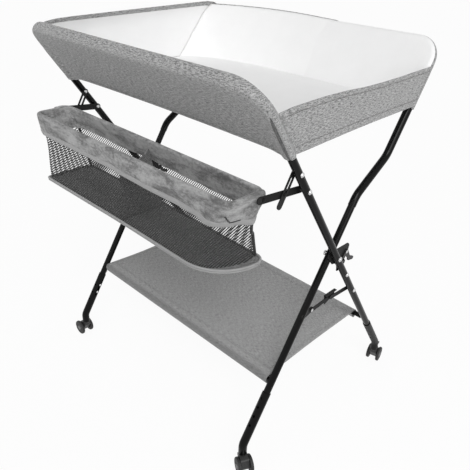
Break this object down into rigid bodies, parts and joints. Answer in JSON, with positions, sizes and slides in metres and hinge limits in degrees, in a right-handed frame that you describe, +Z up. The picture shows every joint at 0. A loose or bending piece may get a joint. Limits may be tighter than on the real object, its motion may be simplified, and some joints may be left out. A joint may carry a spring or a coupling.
{
  "type": "changing table",
  "caption": "Folding baby changing table on casters: crossed tube frames, padded fabric tray, folding mesh basket, fabric shelf and telescopic legs.",
  "frame": {"origin": "on the floor under the middle of the overall box", "axes": "+Z up, +X to the right along the table's length (foot end), -Y to the front, the basket side"},
  "size_m": [0.8008, 0.7212, 0.985],
  "materials": {
    "black_tube": "gloss black powder coat",
    "grey_tube": "satin dark grey powder coat",
    "zinc": "bright zinc plate",
    "black_steel": "satin black paint on pressed steel",
    "black_plastic": "moulded black nylon",
    "tyre_plastic": "moulded black wheel",
    "grey_cloth": "grey heather canvas, white lining inside",
    "white_pad": "white wipe-clean lining over a board",
    "mesh_cloth": "grey band over fine black mesh",
    "base_cloth": "black cloth over a board"
  },
  "bodies": {
    "outer_frame": {"outer_leg_left": "black_tube", "outer_leg_right": "black_tube", "outer_top_tube": "black_tube", "pivot_bolts": "zinc", "outer_bolts": "zinc", "latch_catches": "black_steel", "shelf_back_bar": "black_tube", "front_panel": "grey_cloth", "tray_floor": "white_pad", "end_panel_left": "grey_cloth", "end_panel_right": "grey_cloth", "shelf_fabric": "grey_cloth"},
    "inner_frame": {"inner_leg_left": "black_tube", "inner_leg_right": "black_tube", "inner_top_tube": "black_tube", "pivot_plate_left": "black_steel", "pivot_plate_right": "black_steel", "inner_rivets": "zinc", "brace_ears": "black_steel", "shelf_front_bar": "black_tube", "back_panel": "grey_cloth"},
    "brace_front": {"brace_front_link_left": "black_steel", "brace_front_link_right": "black_steel"},
    "brace_rear": {"brace_rear_link_left": "black_steel", "brace_rear_link_right": "black_steel"},
    "latch_left": {"latch_lever_left": "black_plastic"},
    "latch_right": {"latch_lever_right": "black_plastic"},
    "basket": {"rim_wire": "black_steel", "basket_arm_left": "black_steel", "basket_arm_right": "black_steel", "basket_shell": "mesh_cloth", "basket_base": "base_cloth", "basket_divider": "mesh_cloth"},
    "slotted_links": {"slotted_link_left": "black_steel", "slotted_link_right": "black_steel"},
    "foot_front_left": {"foot_sleeve_front_left": "black_tube", "foot_bush_front_left": "black_plastic"},
    "button_front_left": {"height_button_front_left": "zinc"},
    "caster_front_left": {"caster_hood_front_left": "black_plastic"},
    "wheels_front_left": {"caster_wheels_front_left": "tyre_plastic"},
    "foot_front_right": {"foot_sleeve_front_right": "black_tube", "foot_bush_front_right": "black_plastic"},
    "button_front_right": {"height_button_front_right": "zinc"},
    "caster_front_right": {"caster_hood_front_right": "black_plastic"},
    "wheels_front_right": {"caster_wheels_front_right": "tyre_plastic"},
    "foot_back_left": {"foot_sleeve_back_left": "grey_tube", "foot_bush_back_left": "black_plastic"},
    "button_back_left": {"height_button_back_left": "zinc"},
    "caster_back_left": {"caster_hood_back_left": "black_plastic"},
    "wheels_back_left": {"caster_wheels_back_left": "tyre_plastic"},
    "brake_left": {"brake_pedal_left": "black_plastic"},
    "foot_back_right": {"foot_sleeve_back_right": "grey_tube", "foot_bush_back_right": "black_plastic"},
    "button_back_right": {"height_button_back_right": "zinc"},
    "caster_back_right": {"caster_hood_back_right": "black_plastic"},
    "wheels_back_right": {"caster_wheels_back_right": "tyre_plastic"},
    "brake_right": {"brake_pedal_right": "black_plastic"}
  },
  "joints": [
    {"name": "fold", "type": "hinge", "parent": "outer_frame", "child": "inner_frame", "pos_m": [0, -0.0143, 0.518], "axis": [1, 0, 0], "range_deg": [0, 50], "deforming": ["tray_floor", "end_panel_left", "end_panel_right", "shelf_fabric"]},
    {"name": "brace_front_fold", "type": "hinge", "parent": "inner_frame", "child": "brace_front", "pos_m": [0, -0.0743, 0.386], "axis": [1, 0, 0], "range_deg": [0, 18.99]},
    {"name": "brace_knee_fold", "type": "hinge", "parent": "brace_front", "child": "brace_rear", "pos_m": [0, 0.00185, 0.38867], "axis": [1, 0, 0], "range_deg": [-151.55, 0]},
    {"name": "latch_left_lift", "type": "hinge", "parent": "inner_frame", "child": "latch_left", "pos_m": [0, 0.0397, 0.51], "axis": [1, 0, 0], "range_deg": [-20, 0], "stiffness_Nm_per_rad": 0.2, "springref_deg": 17.19},
    {"name": "latch_right_lift", "type": "hinge", "parent": "inner_frame", "child": "latch_right", "pos_m": [0, 0.0397, 0.51], "axis": [1, 0, 0], "range_deg": [-20, 0], "stiffness_Nm_per_rad": 0.2, "springref_deg": 17.19},
    {"name": "basket_fold", "type": "hinge", "parent": "outer_frame", "child": "basket", "pos_m": [0, -0.16713, 0.74204], "axis": [-1, 0, 0], "range_deg": [0, 35]},
    {"name": "slotted_link_turn", "type": "hinge", "parent": "outer_frame", "child": "slotted_links", "pos_m": [0, -0.19869, 0.7883], "axis": [-1, 0, 0], "range_deg": [0, 17.6]},
    {"name": "leg_height_front_left", "type": "slide", "parent": "inner_frame", "child": "foot_front_left", "axis": [0, 0.5344, 0.8453], "range_m": [0, 0.1], "deforming": ["height_button_front_left"]},
    {"name": "button_press_front_left", "type": "slide", "parent": "inner_frame", "child": "button_front_left", "axis": [0, -0.8453, 0.5344], "range_m": [0, 0.0035], "stiffness_N_per_m": 400, "springref_m": -0.002},
    {"name": "caster_swivel_front_left", "type": "hinge", "parent": "foot_front_left", "child": "caster_front_left", "pos_m": [-0.358, -0.29246, 0.04], "axis": [0, 0, 1], "continuous": true},
    {"name": "wheel_spin_front_left", "type": "hinge", "parent": "caster_front_left", "child": "wheels_front_left", "pos_m": [-0.374, -0.29246, 0.023], "axis": [0, 1, 0], "continuous": true},
    {"name": "leg_height_front_right", "type": "slide", "parent": "inner_frame", "child": "foot_front_right", "axis": [0, 0.5344, 0.8453], "range_m": [0, 0.1], "deforming": ["height_button_front_right"]},
    {"name": "button_press_front_right", "type": "slide", "parent": "inner_frame", "child": "button_front_right", "axis": [0, -0.8453, 0.5344], "range_m": [0, 0.0035], "stiffness_N_per_m": 400, "springref_m": -0.002},
    {"name": "caster_swivel_front_right", "type": "hinge", "parent": "foot_front_right", "child": "caster_front_right", "pos_m": [0.358, -0.29246, 0.04], "axis": [0, 0, 1], "continuous": true},
    {"name": "wheel_spin_front_right", "type": "hinge", "parent": "caster_front_right", "child": "wheels_front_right", "pos_m": [0.37226, -0.29972, 0.023], "axis": [-0.454, -0.891, 0], "continuous": true},
    {"name": "leg_height_back_left", "type": "slide", "parent": "outer_frame", "child": "foot_back_left", "axis": [0, -0.5635, 0.8261], "range_m": [0, 0.1], "deforming": ["height_button_back_left"]},
    {"name": "button_press_back_left", "type": "slide", "parent": "outer_frame", "child": "button_back_left", "axis": [0, -0.8261, -0.5635], "range_m": [0, 0.0035], "stiffness_N_per_m": 400, "springref_m": -0.002},
    {"name": "caster_swivel_back_left", "type": "hinge", "parent": "foot_back_left", "child": "caster_back_left", "pos_m": [-0.38, 0.28585, 0.04], "axis": [0, 0, 1], "continuous": true},
    {"name": "wheel_spin_back_left", "type": "hinge", "parent": "caster_back_left", "child": "wheels_back_left", "pos_m": [-0.37586, 0.3013, 0.023], "axis": [0.9659, -0.2588, 0], "continuous": true},
    {"name": "brake_press_left", "type": "hinge", "parent": "caster_back_left", "child": "brake_left", "pos_m": [-0.37586, 0.3013, 0.0485], "axis": [0.9659, -0.2588, 0], "range_deg": [-12, 0]},
    {"name": "leg_height_back_right", "type": "slide", "parent": "outer_frame", "child": "foot_back_right", "axis": [0, -0.5635, 0.8261], "range_m": [0, 0.1], "deforming": ["height_button_back_right"]},
    {"name": "button_press_back_right", "type": "slide", "parent": "outer_frame", "child": "button_back_right", "axis": [0, -0.8261, -0.5635], "range_m": [0, 0.0035], "stiffness_N_per_m": 400, "springref_m": -0.002},
    {"name": "caster_swivel_back_right", "type": "hinge", "parent": "foot_back_right", "child": "caster_back_right", "pos_m": [0.38, 0.28585, 0.04], "axis": [0, 0, 1], "continuous": true},
    {"name": "wheel_spin_back_right", "type": "hinge", "parent": "caster_back_right", "child": "wheels_back_right", "pos_m": [0.37667, 0.3015, 0.023], "axis": [0.9781, 0.2079, 0], "continuous": true},
    {"name": "brake_press_right", "type": "hinge", "parent": "caster_back_right", "child": "brake_right", "pos_m": [0.37667, 0.3015, 0.0485], "axis": [0.9781, 0.2079, 0], "range_deg": [-12, 0]}
  ],
  "couplings": [
    {"joint": "brace_front_fold", "follows": "fold", "ratio": 0.36983},
    {"joint": "brace_knee_fold", "follows": "fold", "ratio": -3.0209},
    {"joint": "slotted_link_turn", "follows": "basket_fold", "ratio": 0.5}
  ]
}
